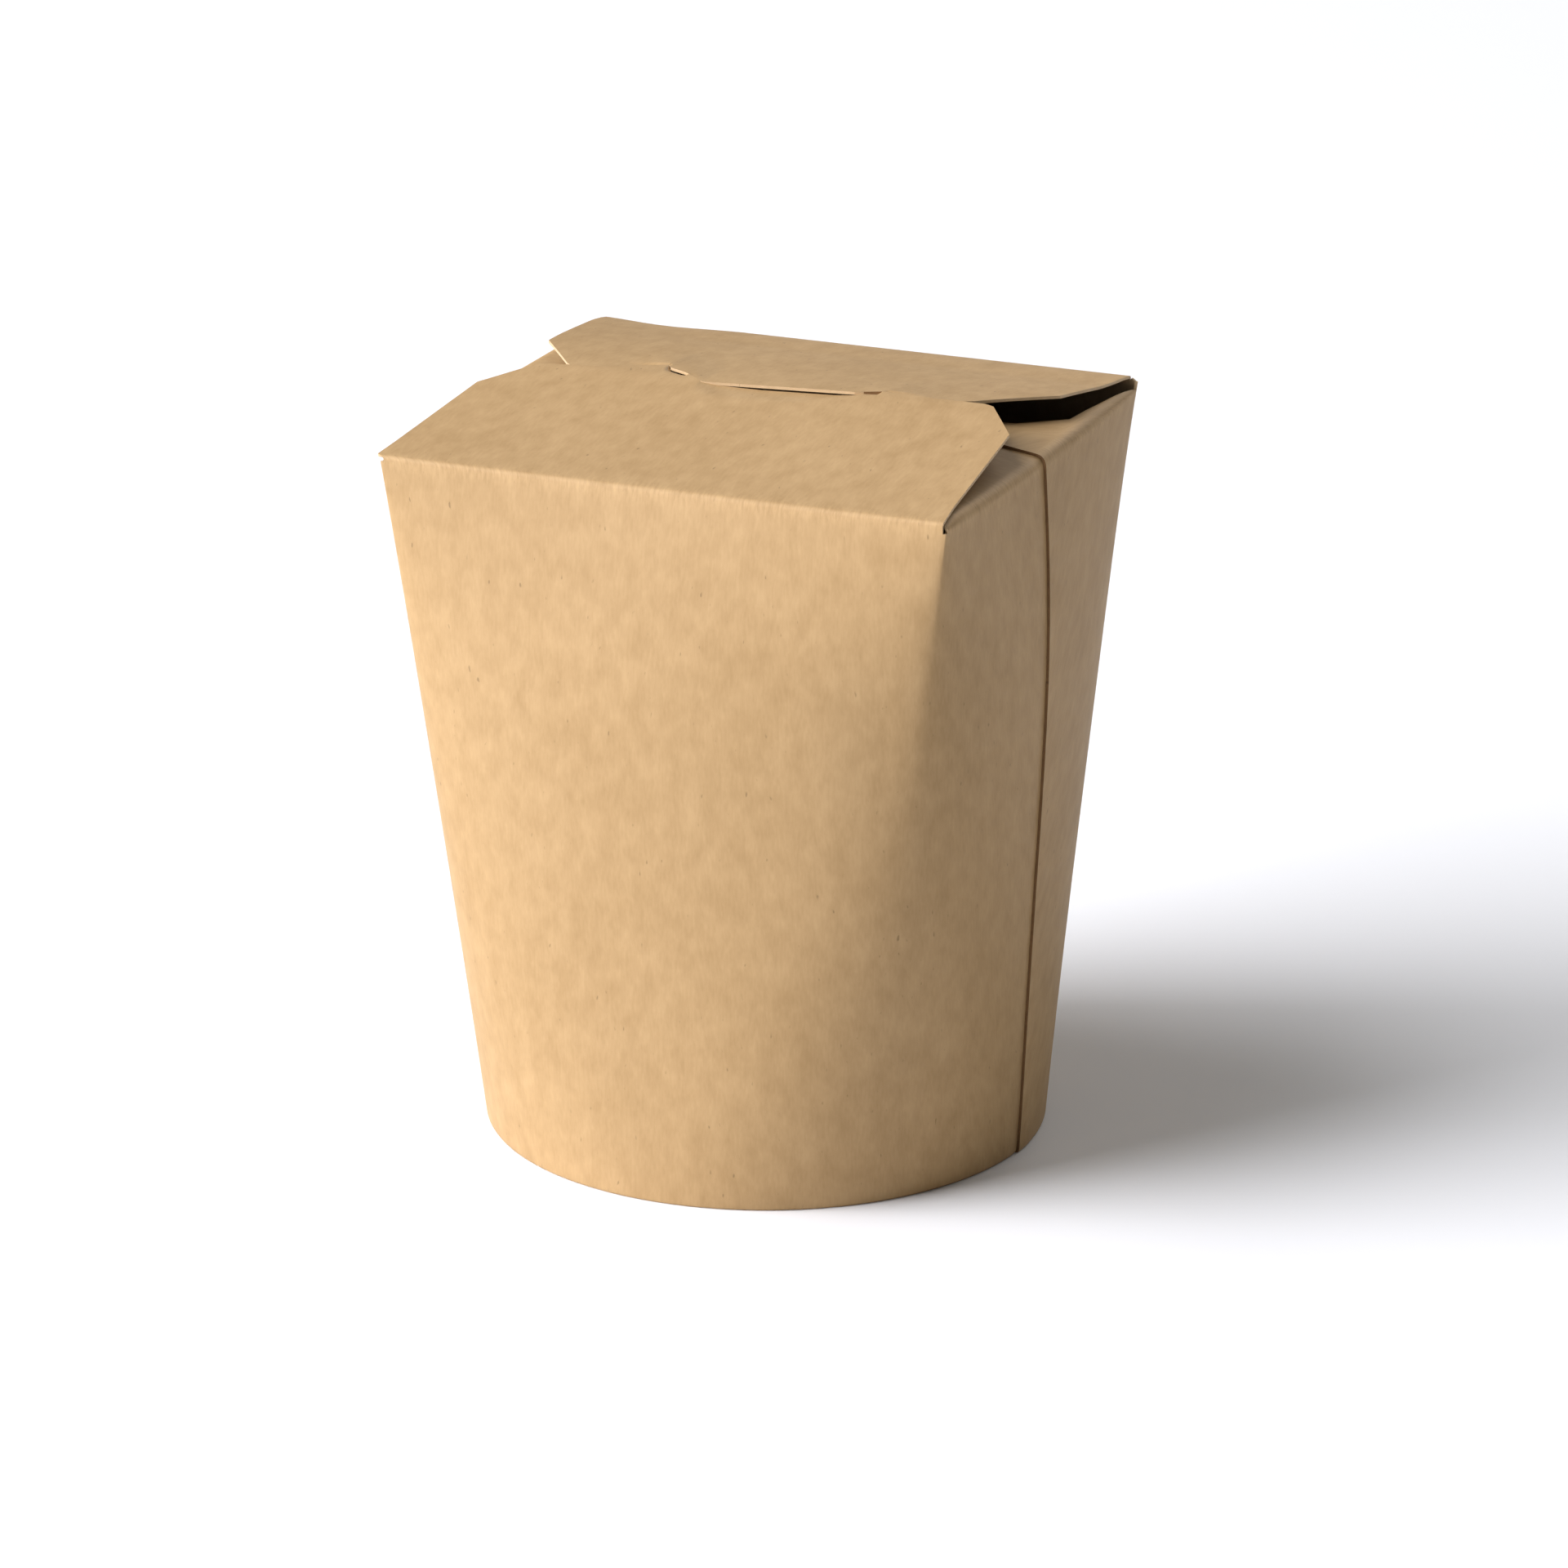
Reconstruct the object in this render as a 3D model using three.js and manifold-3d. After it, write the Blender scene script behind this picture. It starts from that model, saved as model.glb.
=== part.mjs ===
// Noodle takeaway box of kraft board, shut: a round base, a square mouth, and four top flaps
// held by a tongue in a slit. Millimetres, +Z up. The origin is the middle of the base, on the
// surface the box stands on. The front flap folds along the -Y side of the mouth, and the glued
// side seam runs down the +X wall.

import * as THREE from "three";
import { mergeVertices } from "three/addons/utils/BufferGeometryUtils.js";
import Module from "manifold-3d";

const wasm = await Module();
wasm.setup();

// Whole box
const TOP_WIDTH = 93;
const TOP_DEPTH = 83.6;
const FOLD_HEIGHT = 114.4;
const BASE_DIAMETER = 89.4;
const BOARD = 0.5;

// Wall between the round base and the square mouth
const CORNER_RADIUS = 0.6;
const TURN_POWER = 1.69;
const SIDE_BULGE = 1.95;
const SIDE_FOLD_BULGE = 0.9;
const FRONT_BULGE = 3.7;
const WALL_STEPS_ACROSS = 11;
const WALL_STEPS_UP = 18;

// Glued seam, just in front of the middle of the +X wall
const SEAM_PLACE = -0.059;
const SEAM_LEAN = 0.229;
const SEAM_LEAN_POWER = 4.35;
const SEAM_STEP = 0.35;
const SEAM_EDGE = 0.003;
const SEAM_CLEAR = 0.02;

// Front flap, measured from its fold: it lies on top and twists up towards +X
const FRONT_FLAP = {
  hingeHalf: 45.6, sideLength: 31.3, sideHalf: 44.3,
  shoulderLength: 40.4, shoulderHalf: 38.2, length: 41.1, endHalf: 36.5,
};
const RIDGE_RISE = 5.7;
const RIDGE_TILT = 0.021;

// Back flap, measured from its fold: it lies under the front flap's shoulders
const BACK_FLAP = {
  hingeHalf: 45.6, sideLength: 27.4, sideHalf: 43.3,
  shoulderLength: 40.1, shoulderHalf: 34.3, length: 43.3, endHalf: 31.0,
};
const BACK_SIDE_RISE = 4.2;
const BACK_SIDE_TILT = 0.0045;
const FLAP_STEP = 0.6;
const FLAP_STEPS_ACROSS = 20;
const FLAP_STEPS_ALONG = 4;

// Dust flaps folded in from the two sides, under both main flaps
const DUST_SLOPE = 8;
const DUST_FOLD_RADIUS = 1.2;
const DUST_FOLD_STEPS = 5;

// Tongue-and-slit lock. The slit crosses the middle, with a hook at its -X end.
const SLIT_PATH = [
  [-16.6, 1.8], [-14.2, 1.1], [-12.4, -0.2], [-9.8, -2.3], [15.2, -0.8], [19.0, 0.7],
];
const SLIT_GAP = 0.35;
const SLIT_DEPTH = 0.45;
const LIP_RAISE = 1.0;
const LIP_LENGTH = 14;
const LIP_MIDDLE = 3.5;
const LIP_HALF = 17;
const TONGUE_DIP = 0.35;
const TONGUE_DIP_LENGTH = 9;

// The filled inside reaches this far up into the main flaps, and is laid out in these steps
const FILL_OVERLAP = 0.2;
const FILL_STEPS_ACROSS = 6;
const FILL_STEPS_ALONG = 20;

// Relief holes where the fold lines meet, centred just inside each corner
const RELIEF_RADIUS = 0.8;
const RELIEF_INSET = 0.4;
const RELIEF_DEPTH = 1.6;
const RELIEF_SEGMENTS = 16;

// Base: the wall's lower edge is turned in round the skirt of a separate disc
const RIM_WIDTH = 1.6;
const RECESS_DEPTH = 6;
const DISC_CLEARANCE = 0.3;
const DISC_SKIRT_LIFT = 0.9;
const ROUND_SEGMENTS = 72;

// How near two vertices are when they count as one, and how far a cutting shape runs past its cut
const MERGE_DISTANCE = 1e-4;
const OVERRUN = 3;

const HALF_WIDTH = TOP_WIDTH / 2;
const HALF_DEPTH = TOP_DEPTH / 2;
const BASE_RADIUS = BASE_DIAMETER / 2;

const KRAFT_OUTSIDE = new THREE.MeshStandardMaterial({ color: 0xc39a68, roughness: 0.85, metalness: 0 });
const KRAFT_BASE = new THREE.MeshStandardMaterial({ color: 0xb88f5f, roughness: 0.88, metalness: 0 });

const clamp01 = (value) => Math.min(1, Math.max(0, value));
const smooth = (value) => clamp01(value) ** 2 * (3 - 2 * clamp01(value));
const spread = (count) => Array.from({ length: count + 1 }, (_, index) => index / count);

// A value that runs straight between the given [place, value] pairs
function along(pairs, place) {
  const next = pairs.findIndex(([start]) => start >= place);
  if (next <= 0) return next === 0 ? pairs[0][1] : pairs[pairs.length - 1][1];
  const [[from, low], [to, high]] = [pairs[next - 1], pairs[next]];
  return low + ((high - low) * (place - from)) / (to - from);
}

// Turns unique corner points and triangles into a solid for joining and cutting
function solid(points, triangles) {
  const vertProperties = new Float32Array(points.flat());
  const triVerts = new Uint32Array(triangles.flat());
  return new wasm.Manifold(new wasm.Mesh({ numProp: 3, vertProperties, triVerts }));
}

// The same for a closed three.js geometry, once its shared vertices are merged
function solidOf(geometry) {
  geometry.deleteAttribute("normal");
  geometry.deleteAttribute("uv");
  const merged = mergeVertices(geometry, MERGE_DISTANCE);
  const vertProperties = new Float32Array(merged.attributes.position.array);
  const triVerts = new Uint32Array(merged.index.array);
  return new wasm.Manifold(new wasm.Mesh({ numProp: 3, vertProperties, triVerts }));
}

function geometryOf(manifold) {
  const mesh = manifold.getMesh();
  const geometry = new THREE.BufferGeometry();
  geometry.setAttribute("position", new THREE.BufferAttribute(mesh.vertProperties, 3));
  geometry.setIndex(new THREE.BufferAttribute(mesh.triVerts, 1));
  geometry.computeVertexNormals();
  return geometry;
}

// Closes a grid of upper points over a grid of lower points. Rows run so that across x up
// points along +Z.
function slab(upper, lower) {
  const rows = upper.length;
  const columns = upper[0].length;
  const points = [...upper.flat(), ...lower.flat()];
  const top = (row, column) => row * columns + column;
  const under = (row, column) => rows * columns + top(row, column);
  const triangles = [];
  const quad = (a, b, c, d) => triangles.push([a, b, c], [a, c, d]);
  for (let row = 0; row + 1 < rows; row += 1) {
    for (let column = 0; column + 1 < columns; column += 1) {
      quad(top(row, column), top(row, column + 1), top(row + 1, column + 1), top(row + 1, column));
      quad(under(row, column), under(row + 1, column), under(row + 1, column + 1), under(row, column + 1));
    }
    quad(top(row, 0), top(row + 1, 0), under(row + 1, 0), under(row, 0));
    const last = columns - 1;
    quad(top(row, last), under(row, last), under(row + 1, last), top(row + 1, last));
  }
  for (let column = 0; column + 1 < columns; column += 1) {
    const last = rows - 1;
    quad(top(0, column), under(0, column), under(0, column + 1), top(0, column + 1));
    quad(top(last, column), top(last, column + 1), under(last, column + 1), under(last, column));
  }
  return solid(points, triangles);
}

// The wall is ruled: each straight line runs from the base circle to the mouth. Share s goes
// from -1 to 1 along one side, corner to corner, and t from 0 at the base to 1 at the mouth.
const cornerShare = (s) => Math.sin((Math.PI / 2) * s);
const baseTurn = (s) => Math.sign(s) * (Math.PI / 4) * Math.abs(s) ** TURN_POWER;
const belly = (t) => Math.sin(Math.PI * t * t);

const SIDES = [
  { run: [1, 0], out: [0, -1], half: HALF_WIDTH, reach: HALF_DEPTH, bulge: (t) => FRONT_BULGE * belly(t) },
  { run: [0, 1], out: [1, 0], half: HALF_DEPTH, reach: HALF_WIDTH, bulge: sideBulge, seam: true },
  { run: [-1, 0], out: [0, 1], half: HALF_WIDTH, reach: HALF_DEPTH, bulge: (t) => FRONT_BULGE * belly(t) },
  { run: [0, -1], out: [-1, 0], half: HALF_DEPTH, reach: HALF_WIDTH, bulge: sideBulge },
];

function sideBulge(t) {
  return SIDE_BULGE * belly(t) + SIDE_FOLD_BULGE * t ** 6;
}

// The rear panel laps over the front one at the seam, and lies flush again at its corner
function seamLap(place) {
  if (place <= SEAM_PLACE) return 0;
  return SEAM_STEP * (1 - smooth((place - SEAM_PLACE) / (1 - SEAM_PLACE)));
}

// The seam is a straight cut edge, so towards the base it leans away from the ruled lines
function seamLean(place, t) {
  return place - SEAM_LEAN * (1 - t) ** SEAM_LEAN_POWER * (1 - place * place);
}

function wallPoint(side, place, t, height) {
  const s = side.seam ? seamLean(place, t) : place;
  const round = (1 - t) * BASE_RADIUS + t * CORNER_RADIUS;
  const turn = baseTurn(s);
  const share = cornerShare(s);
  const forward = round * Math.sin(turn) + t * (side.half - CORNER_RADIUS) * share;
  const lap = side.seam ? seamLap(place) : 0;
  const swell = side.bulge(t) * (1 - share * share) + lap;
  const outward = round * Math.cos(turn) + t * (side.reach - CORNER_RADIUS) + swell;
  return [
    side.run[0] * forward + side.out[0] * outward,
    side.run[1] * forward + side.out[1] * outward,
    height,
  ];
}

// Shares along one side, without the far corner, which belongs to the next side
function sideShares(side) {
  const shares = spread(2 * WALL_STEPS_ACROSS).map((share) => 2 * share - 1).slice(0, -1);
  if (!side.seam) return shares;
  const clear = shares.filter((s) => Math.abs(s - SEAM_PLACE) > SEAM_CLEAR);
  return [...clear, SEAM_PLACE, SEAM_PLACE + SEAM_EDGE].sort((a, b) => a - b);
}

function ring(t, height) {
  return SIDES.flatMap((side) => sideShares(side).map((s) => wallPoint(side, s, t, height)));
}

// The wall as a full column that stands above the folds, ready for the roof to cut it off
function column() {
  const above = FOLD_HEIGHT + ridge(HALF_WIDTH) + OVERRUN;
  const rings = spread(WALL_STEPS_UP).map((t) => ring(t, t * FOLD_HEIGHT));
  rings.push(ring(1, above));
  const count = rings[0].length;
  const points = rings.flat();
  const triangles = [];
  for (let level = 0; level + 1 < rings.length; level += 1) {
    for (let place = 0; place < count; place += 1) {
      const next = (place + 1) % count;
      const [a, b] = [level * count + place, level * count + next];
      triangles.push([a, b, b + count], [a, b + count, a + count]);
    }
  }
  const low = points.push([0, 0, 0]) - 1;
  const high = points.push([0, 0, above]) - 1;
  const last = (rings.length - 1) * count;
  for (let place = 0; place < count; place += 1) {
    const next = (place + 1) % count;
    triangles.push([low, next, place], [high, last + place, last + next]);
  }
  return solid(points, triangles);
}

// Heights above the fold lines. The two main flaps meet at a ridge that is higher towards +X.
const ridge = (x) => RIDGE_RISE + RIDGE_TILT * x;

function frontRise(x, run) {
  return (run * ridge(x)) / FRONT_FLAP.length;
}

// The back flap arches through its side corner and its shoulder, one board under the ridge
function backRise(x, run) {
  const [near, far] = [BACK_FLAP.sideLength, BACK_FLAP.shoulderLength];
  const nearSlope = (BACK_SIDE_RISE + BACK_SIDE_TILT * x) / near;
  const farSlope = (ridge(x) - FLAP_STEP) / far;
  const reached = Math.min(run, BACK_FLAP.length);
  return reached * (nearSlope + ((farSlope - nearSlope) * (reached - near)) / (far - near));
}

// Across the lock: one in the middle of the slit and nothing at its ends
function lockShare(x) {
  return 1 - smooth(Math.abs(x - LIP_MIDDLE) / LIP_HALF);
}

function lipRaise(x, run) {
  const reached = (run - BACK_FLAP.length + LIP_LENGTH) / LIP_LENGTH;
  return LIP_RAISE * lockShare(x) * smooth(reached);
}

function tongueDip(x, run) {
  const reached = (run - FRONT_FLAP.length + TONGUE_DIP_LENGTH) / TONGUE_DIP_LENGTH;
  return TONGUE_DIP * lockShare(x) * smooth(reached);
}

// A dust flap rises from its rounded fold
function dustRise(x) {
  const inward = HALF_WIDTH - Math.abs(x);
  const short = clamp01(1 - inward / DUST_FOLD_RADIUS);
  const drop = DUST_FOLD_RADIUS * (1 - Math.sqrt(1 - short * short));
  return inward * Math.tan(THREE.MathUtils.degToRad(DUST_SLOPE)) - drop;
}

// Everything under the roof is filled: the roof is the lowest of the flaps' undersides
function roof() {
  const sunk = BOARD - FILL_OVERLAP;
  const foldStart = HALF_WIDTH - DUST_FOLD_RADIUS;
  const flat = spread(FILL_STEPS_ACROSS).map((share) => foldStart * share);
  const fold = spread(DUST_FOLD_STEPS).slice(1);
  const rounded = fold.map((share) => foldStart + DUST_FOLD_RADIUS * Math.sin((Math.PI / 2) * share));
  const half = [...flat, ...rounded, HALF_WIDTH + OVERRUN];
  const xs = [...half.slice(1).map((x) => -x).reverse(), ...half];
  const ys = spread(FILL_STEPS_ALONG).map((share) => (2 * share - 1) * (BASE_RADIUS + OVERRUN));
  const height = (x, y) => {
    const main = Math.min(frontRise(x, y + HALF_DEPTH), backRise(x, HALF_DEPTH - y));
    return FOLD_HEIGHT + Math.min(main - sunk, dustRise(x));
  };
  const upper = ys.map((y) => xs.map((x) => [x, y, height(x, y)]));
  const lower = ys.map((y) => xs.map((x) => [x, y, -OVERRUN]));
  return slab(upper, lower);
}

// A flap's outline is its half width at each distance from the fold
const flapHalf = (flap, run) => along([
  [0, flap.hingeHalf], [flap.sideLength, flap.sideHalf],
  [flap.shoulderLength, flap.shoulderHalf], [flap.length, flap.endHalf],
], run);

const flapRuns = (flap) => [
  ...spread(FLAP_STEPS_ALONG).map((share) => share * flap.sideLength),
  (flap.sideLength + flap.shoulderLength) / 2, flap.shoulderLength, flap.length,
];

// facing is -1 for the flap that folds along the -Y side, and 1 for the other
function mainFlap(flap, facing, rise, thickness) {
  const across = spread(FLAP_STEPS_ACROSS).map((share) => 2 * share - 1);
  const rows = flapRuns(flap).map((run) => across.map((share) => {
    const x = -facing * share * flapHalf(flap, run);
    const y = facing * (HALF_DEPTH - run);
    return [x, y, FOLD_HEIGHT + rise(x, run), thickness(x, run)];
  }));
  const upper = rows.map((row) => row.map(([x, y, z]) => [x, y, z]));
  const lower = rows.map((row) => row.map(([x, y, z, thick]) => [x, y, z - thick]));
  return slab(upper, lower);
}

function frontFlap() {
  const rise = (x, run) => frontRise(x, run) - tongueDip(x, run);
  return mainFlap(FRONT_FLAP, -1, rise, () => BOARD);
}

function backFlap() {
  const rise = (x, run) => backRise(x, run) + lipRaise(x, run);
  return mainFlap(BACK_FLAP, 1, rise, (x, run) => BOARD + lipRaise(x, run));
}

// The slit is a thin cut that follows its path through the upper board
function slit() {
  const path = SLIT_PATH.map(([x, y]) => new THREE.Vector2(x, y));
  const sideways = path.map((point, index) => {
    const before = path[Math.max(0, index - 1)];
    const after = path[Math.min(path.length - 1, index + 1)];
    const run = after.clone().sub(before).normalize();
    return new THREE.Vector2(-run.y, run.x).multiplyScalar(SLIT_GAP / 2);
  });
  const left = path.map((point, index) => point.clone().add(sideways[index]));
  const right = path.map((point, index) => point.clone().sub(sideways[index]));
  const outline = new THREE.Shape([...right, ...left.reverse()]);
  const depth = SLIT_DEPTH + OVERRUN;
  const geometry = new THREE.ExtrudeGeometry(outline, { depth, bevelEnabled: false });
  geometry.translate(0, 0, FOLD_HEIGHT + ridge(0) - SLIT_DEPTH);
  return solidOf(geometry);
}

function reliefHole(signX, signY) {
  const length = 2 * RELIEF_DEPTH;
  const geometry = new THREE.CylinderGeometry(RELIEF_RADIUS, RELIEF_RADIUS, length, RELIEF_SEGMENTS);
  geometry.rotateX(Math.PI / 2);
  const x = signX * (HALF_WIDTH - RELIEF_INSET);
  const y = signY * (HALF_DEPTH - RELIEF_INSET);
  geometry.translate(x, y, FOLD_HEIGHT);
  return solidOf(geometry);
}

const turned = (profile) => new THREE.LatheGeometry(
  profile.map(([radius, height]) => new THREE.Vector2(radius, height)), ROUND_SEGMENTS,
).rotateX(Math.PI / 2);

function recess() {
  const radius = BASE_RADIUS - RIM_WIDTH;
  const profile = [[0, -OVERRUN], [radius, -OVERRUN], [radius, RECESS_DEPTH], [0, RECESS_DEPTH]];
  return solidOf(turned(profile));
}

function carton() {
  let body = column().intersect(roof()).add(backFlap()).add(frontFlap());
  body = body.subtract(slit()).subtract(recess());
  for (const signX of [-1, 1]) {
    for (const signY of [-1, 1]) body = body.subtract(reliefHole(signX, signY));
  }
  return body;
}

// The disc is a shallow pan, its skirt turned down inside the rim
function baseDisc() {
  const radius = BASE_RADIUS - RIM_WIDTH - DISC_CLEARANCE;
  const top = RECESS_DEPTH - DISC_CLEARANCE;
  return solidOf(turned([
    [0, top - BOARD], [radius - BOARD, top - BOARD], [radius - BOARD, DISC_SKIRT_LIFT],
    [radius, DISC_SKIRT_LIFT], [radius, top], [0, top],
  ]));
}

function piece(name, manifold, material) {
  const mesh = new THREE.Mesh(geometryOf(manifold), material);
  mesh.name = name;
  return mesh;
}

const box = new THREE.Group();
box.add(piece("carton", carton(), KRAFT_OUTSIDE));
box.add(piece("base_disc", baseDisc(), KRAFT_BASE));

export default box;
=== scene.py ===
# Looks of the noodle takeaway box: one folded sheet of kraft board with its seam, four top flaps
# and slit, and the disc set into its base. It stands on a plain pale floor in soft light.
# Sizes are in millimetres until mesh_piece() turns them into metres. +Z is up, and the origin is
# the middle of the base, on the surface the box stands on.

import math

import bpy
import numpy as np
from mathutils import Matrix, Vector

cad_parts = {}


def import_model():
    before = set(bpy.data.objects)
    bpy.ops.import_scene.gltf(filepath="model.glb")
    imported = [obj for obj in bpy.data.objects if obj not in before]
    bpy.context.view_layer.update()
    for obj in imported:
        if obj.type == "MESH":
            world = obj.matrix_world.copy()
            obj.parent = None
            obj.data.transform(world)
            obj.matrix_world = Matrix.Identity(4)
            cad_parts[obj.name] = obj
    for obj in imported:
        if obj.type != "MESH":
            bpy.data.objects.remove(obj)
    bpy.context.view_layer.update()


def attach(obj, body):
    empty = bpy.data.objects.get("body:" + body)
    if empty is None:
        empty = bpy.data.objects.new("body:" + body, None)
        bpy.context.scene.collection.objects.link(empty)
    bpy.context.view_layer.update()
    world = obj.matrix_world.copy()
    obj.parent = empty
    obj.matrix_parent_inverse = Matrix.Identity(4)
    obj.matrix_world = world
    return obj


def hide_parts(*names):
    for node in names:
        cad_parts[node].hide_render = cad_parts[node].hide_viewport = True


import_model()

MM = 0.001

# Whole box, the same driving sizes as the solids have
TOP_WIDTH = 93.0
TOP_DEPTH = 83.6
FOLD_HEIGHT = 114.4
BASE_DIAMETER = 89.4
BOARD = 0.45
HALF_WIDTH = TOP_WIDTH / 2
HALF_DEPTH = TOP_DEPTH / 2
BASE_RADIUS = BASE_DIAMETER / 2

# Wall between the round base and the square mouth
CORNER_RADIUS = 0.6
TURN_POWER = 1.69
SIDE_BULGE = 1.95
SIDE_FOLD_BULGE = 0.9
FRONT_BULGE = 3.7
SIDE_STEPS = 400
WALL_ROWS = 64

# Glued seam on the +X wall: the rear panel laps over the front one, which tucks in behind it. The
# seam leans towards the front at its foot.
SEAM_PLACE = -0.059
SEAM_LEAN = 0.229
SEAM_LEAN_POWER = 4.35
SEAM_STEP = 0.35
SEAM_DIP_WIDTH = 0.08
SEAM_GAP = 0.03
TUCK = 0.2

# Folds: how much of each side is hinged, how far the rounded folds reach down the wall and along
# the flaps, and how far below the fold lines the board ends at the corners
HINGE_PLACE = {"front": 0.9, "right": 0.9, "back": 0.86, "left": 0.9}
HINGE_EASE = 0.02
HINGE_EASE_RUN = 6.0
MAIN_FOLD = 0.7
DUST_FOLD = 1.6
FOLD_ROWS = 6
# The board is paler within about this distance of each fold: crease wear, and a painted highlight along
# the rounded folds.
WEAR_AND_HIGHLIGHT_LENGTH = 0.8
NOTCH_DROP = {"front": 0.95, "front right": 1.7, "back": 0.2}

# Small irregularities of this box: a raised rear fold, a lifted rear corner and a shallow dent.
# The pairs say where each lift starts and where it is whole.
REAR_LIFT = 0.6
REAR_LIFT_LEFT = (-40.0, -20.0)
REAR_LIFT_RIGHT = (46.3, 45.1)
REAR_LIFT_Y = (28.0, 40.0)
REAR_LIFT_Z = (108.0, 114.0)
CORNER_LIFT = 0.7
CORNER_LIFT_WIDTH = 7.0
CORNER_LIFT_Z = (98.0, 114.0)
DENT_DEPTH = 0.45
DENT_X = 37.0
DENT_Z = 77.0
DENT_WIDTH = 7.0
DENT_HEIGHT = 13.0
DENT_BEFORE_Y = -20.0

# Main flaps, measured from their folds
FRONT_LENGTH = 41.1
BACK_LENGTH = 43.3
FRONT_OUTLINE = {
    "right": [(0, 45.4), (31.3, 44.3), (40.4, 38.2), (41.1, 36.5)],
    "left": [(0, 45.6), (0.8, 46.8), (31.3, 44.3), (40.4, 38.2), (41.1, 36.5)],
}
BACK_OUTLINE = {
    "right": [(0, 45.6), (27.4, 43.3), (40.1, 34.3), (43.3, 31.0)],
    "left": [(0, 45.6), (27.4, 43.3), (40.1, 34.3), (43.3, 31.0)],
}
RIDGE_RISE = 5.7
RIDGE_TILT = 0.021
RIDGE_SOFTEN = 0.04
BACK_SIDE_RUN = 27.4
BACK_SHOULDER_RUN = 40.1
BACK_SIDE_RISE = 4.2
BACK_SIDE_TILT = 0.0045
FLAP_STEP = 0.47
FLAP_SPLIT = 35.0
FLAP_ROWS = 34
TIP_ROWS = 16

# Dust flaps, folded in under both main flaps. The right one's rear edge is cut back: DUST_CUT gives
# how far behind the middle it ends, by run.
DUST_SLOPE = {"right": math.tan(math.radians(8)), "left": math.tan(math.radians(1.5))}
DUST_LENGTH = 28.0
DUST_ROWS = 22
DUST_ROW_POWER = 1.3
DUST_TAPER = 0.22
DUST_CUT_START = 5.0
DUST_CUT = [(0, 41.2), (2.1, 16.0), (8.5, 7.6), (28.0, 6.0)]
DUST_CLEAR = 0.15

# Tongue-and-slit lock: the slit's line across the top, and how far its lip stands over the tongue.
# The lip lifts the back flap over LIP_LENGTH, and over LIP_FADE beyond the slit's ends. Where the
# lip is below zero, the back flap dives under the front one within DIVE_LENGTH. The front flap is
# pressed down ahead of the slit over PRESS_LENGTH. Its rear edge beyond the slit is FRONT_EDGE.
SLIT_X = [-18.3, -17.2, -14.2, -12.4, -9.8, 15.2, 19.6]
SLIT_Y = [4.4, 2.9, 1.3, -0.1, -2.3, -0.8, 0.7]
LIP_X = [-18.3, -17.8, -16.8, -14.4, -13.6, -13.0, -10.4, -9.6,
         -7.0, 0.0, 12.0, 15.0, 16.4, 17.2, 18.8, 19.6]
LIP_OVER = [-0.47, 0.3, 0.8, 0.75, 0.3, -0.1, -0.05, 0.12,
            0.45, 0.75, 0.75, 0.55, 0.3, 0.4, 0.5, -0.47]
# Painted shade: along the slit's right end, between these x and within this width of its line, the cut
# edges are coloured dark for the shade in the gap under the lip.
SLIT_SHADE_X = (16.3, 19.7)
SLIT_SHADE_WIDTH = 1.0
LIP_LENGTH = 14.0
LIP_FADE = 8.0
DIVE_LENGTH = 1.3
PRESS_X = [-13.0, -6.0, 8.0, 16.0]
PRESS_LENGTH = [1.8, 6.0, 6.0, 1.8]
FRONT_EDGE_X = [-36.5, -27.0, -18.3, 19.6, 28.0, 36.5]
FRONT_EDGE_Y = [-0.7, 0.2, 4.4, 0.7, -0.4, -0.7]
EDGE_OVERLAP = 0.8
TONGUE_LENGTH = 3.4
TONGUE_ROWS = 5
TONGUE_GAP = 0.35
TONGUE_START = -0.4
TONGUE_X = (-17.6, 16.2)

# Base: the wall's lower edge is turned in and up round the disc, whose skirt ends at DISC_LIFT
RIM_WIDTH = 1.6
RIM_BEND = 0.45
HEM_HEIGHT = 5.4
RIM_ROWS = 5
HEM_ROWS = 6
DISC_RADIUS = 42.8
DISC_TOP = 5.7
DISC_BOARD = 0.5
DISC_LIFT = 0.9
DISC_BEND = 0.7
DISC_SEGMENTS = 180
DISC_RINGS = 12

# Camera, matched to the photograph, in degrees and millimetres
PHOTO_PIXELS = 1920
FOCAL_PIXELS = 8680
SENSOR_MM = 36.0
CAMERA_AZIMUTH = 22.48
CAMERA_ELEVATION = 19.25
CAMERA_DISTANCE = 1118.1
AIM_HEIGHT = 54.2
AIM_RIGHT = 2.85

# Places in the list of materials that the sheet's faces use. The last is a painted shade: cut edges
# along the seam and at the slit's right end are coloured dark brown for the shade in their gaps.
OUTSIDE, INSIDE, CUT_EDGE, SHADED_EDGE = range(4)


def smooth(value):
    value = np.clip(value, 0, 1)
    return value * value * (3 - 2 * value)


def ramp(value, ends):
    """Goes smoothly from 0 at the first end to 1 at the second."""
    return smooth((value - ends[0]) / (ends[1] - ends[0]))


def arc(count):
    """Angles of a quarter turn."""
    return np.linspace(0, math.pi / 2, count)


# The wall is ruled: each straight line runs from the base circle to the mouth. Place goes from
# -1 to 1 along one side, corner to corner, and t from 0 at the base to 1 at the mouth.

def belly(t):
    return np.sin(math.pi * t * t)


def side_bulge(t):
    return SIDE_BULGE * belly(t) + SIDE_FOLD_BULGE * t ** 6


def front_bulge(t):
    return FRONT_BULGE * belly(t)


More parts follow.
